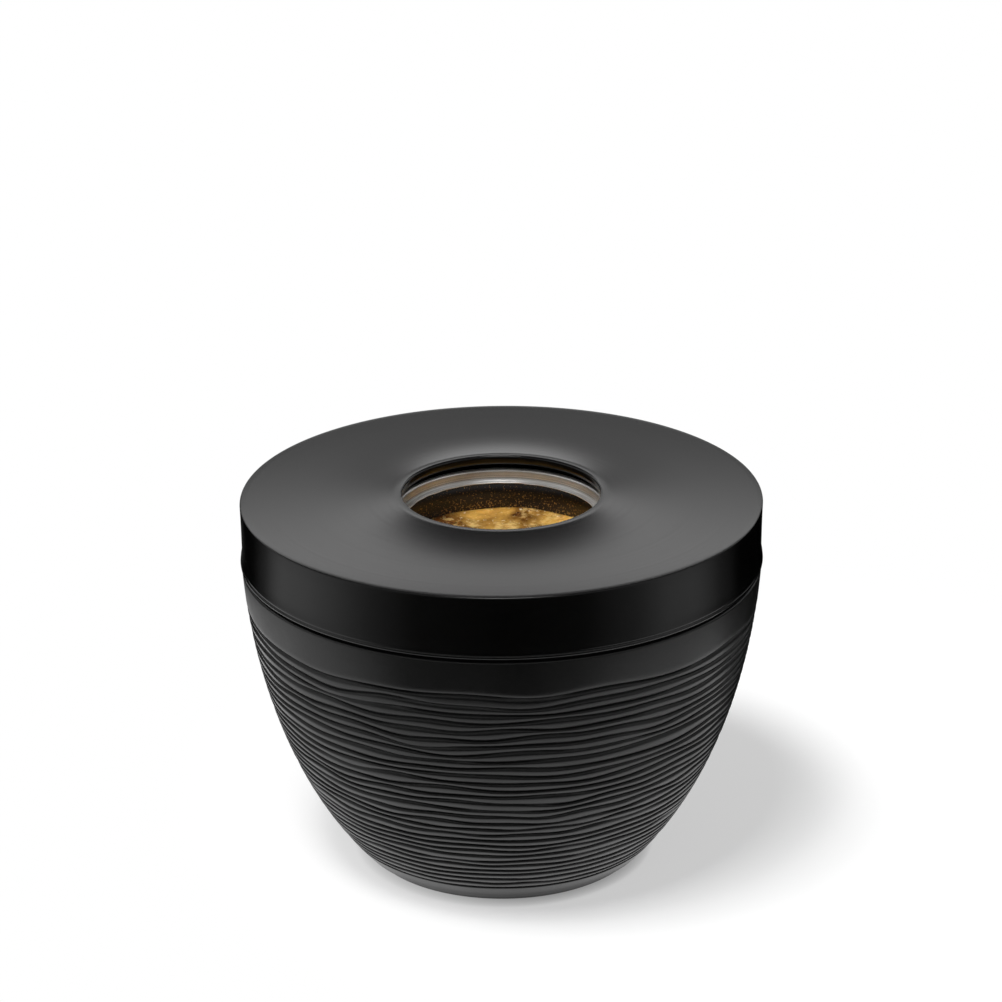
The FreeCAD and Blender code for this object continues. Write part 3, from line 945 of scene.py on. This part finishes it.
def makeCards():
    turns = np.radians(np.arange(-180, 181, cards["step"]))
    degrees = np.degrees(turns)
    near = np.interp(degrees, *zip(*cards["near"]))
    top = np.interp(degrees, *zip(*cards["top"]))
    reach, lift = cards["reach"], cards["lift"]
    outlines = [[(n, lift), (reach, lift), (reach, t)] for n, t in zip(near, top)]
    sweptCard("tableCard", outlines, turns, rampMaterial("tableCard", cards["glow"], "angle"))
    band = cards["band"]
    outline = [(band["reach"], z) for z, _ in (band["stops"][0], band["stops"][-1])]
    sweptCard("bandCard", [outline] * len(turns), turns, rampMaterial("bandCard", band["stops"], "height"))
    for number, strip in enumerate(cards["strips"]):
        first, last = strip["stops"][0][0], strip["stops"][-1][0]
        turns = np.radians(np.linspace(first, last, cards["stripSteps"]))
        outline = [(strip["near"], cards["stripLift"]), (strip["far"], cards["stripLift"])]
        name = f"stripCard{number + 1}"
        sweptCard(name, [outline] * len(turns), turns, rampMaterial(name, strip["stops"], "angle"))
    over = cards["overhead"]
    x, y, z = over["place"]
    steps = over["steps"]
    rim = np.arange(steps) * fullTurn / steps
    points = [(x + over["size"] * math.cos(t), y + over["size"] * math.sin(t), z) for t in rim]
    addCard("overheadCard", points, [tuple(range(steps))], cardMaterial("overheadCard", over["glow"])[0])


def makeWorld():
    world = bpy.data.worlds.new("studioDome")
    bpy.context.scene.world = world
    world.use_nodes = True
    tree = world.node_tree
    background = tree.nodes["Background"]
    place = tree.nodes.new("ShaderNodeTexCoord")
    split = tree.nodes.new("ShaderNodeSeparateXYZ")
    tree.links.new(place.outputs["Generated"], split.inputs["Vector"])
    ramp = tree.nodes.new("ShaderNodeMapRange")
    ramp.interpolation_type = "SMOOTHSTEP"
    ramp.inputs["From Min"].default_value = math.sin(math.radians(studio["skyLow"]))
    ramp.inputs["From Max"].default_value = math.sin(math.radians(studio["skyHigh"]))
    ramp.inputs["To Min"].default_value = studio["skyGlow"]
    ramp.inputs["To Max"].default_value = studio["dome"]
    tree.links.new(split.outputs["Z"], ramp.inputs["Value"])
    tree.links.new(ramp.outputs["Result"], background.inputs["Strength"])
    background.inputs["Color"].default_value = (1, 1, 1, 1)


def addLamp(name, angle, lift, power):
    data = bpy.data.lights.new(name, "AREA")
    data.energy = power
    data.shape = "DISK"
    data.size = studio["lampSize"]
    lamp = bpy.data.objects.new(name, data)
    bpy.context.scene.collection.objects.link(lamp)
    turned, raised = math.radians(angle), math.radians(lift)
    level = math.cos(raised)
    way = Vector((math.sin(turned) * level, -math.cos(turned) * level, math.sin(raised)))
    lamp.location = way * studio["lampAway"]
    lamp.rotation_mode = "QUATERNION"
    lamp.rotation_quaternion = (Vector(studio["lampTarget"]) - lamp.location).to_track_quat("-Z", "Y")
    lamp.visible_camera = lamp.visible_glossy = False


# 14 lid radii away, looking 21.6 degrees down, with a touch of roll
view = {"distance": 1.470, "elevation": 21.58, "target": (0.0, 0.0, 0.153), "lens": 131.9,
        "roll": -0.46, "shift": (-0.0002, -0.0055)}


def makeCamera():
    data = bpy.data.cameras.new("camera")
    data.lens = view["lens"]
    data.sensor_width = 36.0
    data.shift_x, data.shift_y = view["shift"]
    data.clip_start, data.clip_end = 0.05, 50
    camera = bpy.data.objects.new("camera", data)
    bpy.context.scene.collection.objects.link(camera)
    lift = math.radians(view["elevation"])
    back = Vector((0, -math.cos(lift), math.sin(lift)))
    camera.location = Vector(view["target"]) + back * view["distance"]
    aim = (-back).to_track_quat("-Z", "Y").to_matrix()
    camera.rotation_euler = (aim @ Matrix.Rotation(math.radians(view["roll"]), 3, "Z")).to_euler()
    bpy.context.scene.camera = camera


makeFloor()
makeCards()
makeWorld()
for number, lamp in enumerate(studio["lamps"]):
    addLamp(f"lamp{number + 1}", *lamp)
makeCamera()
bpy.context.scene.view_settings.view_transform = "Standard"
print("studio made")
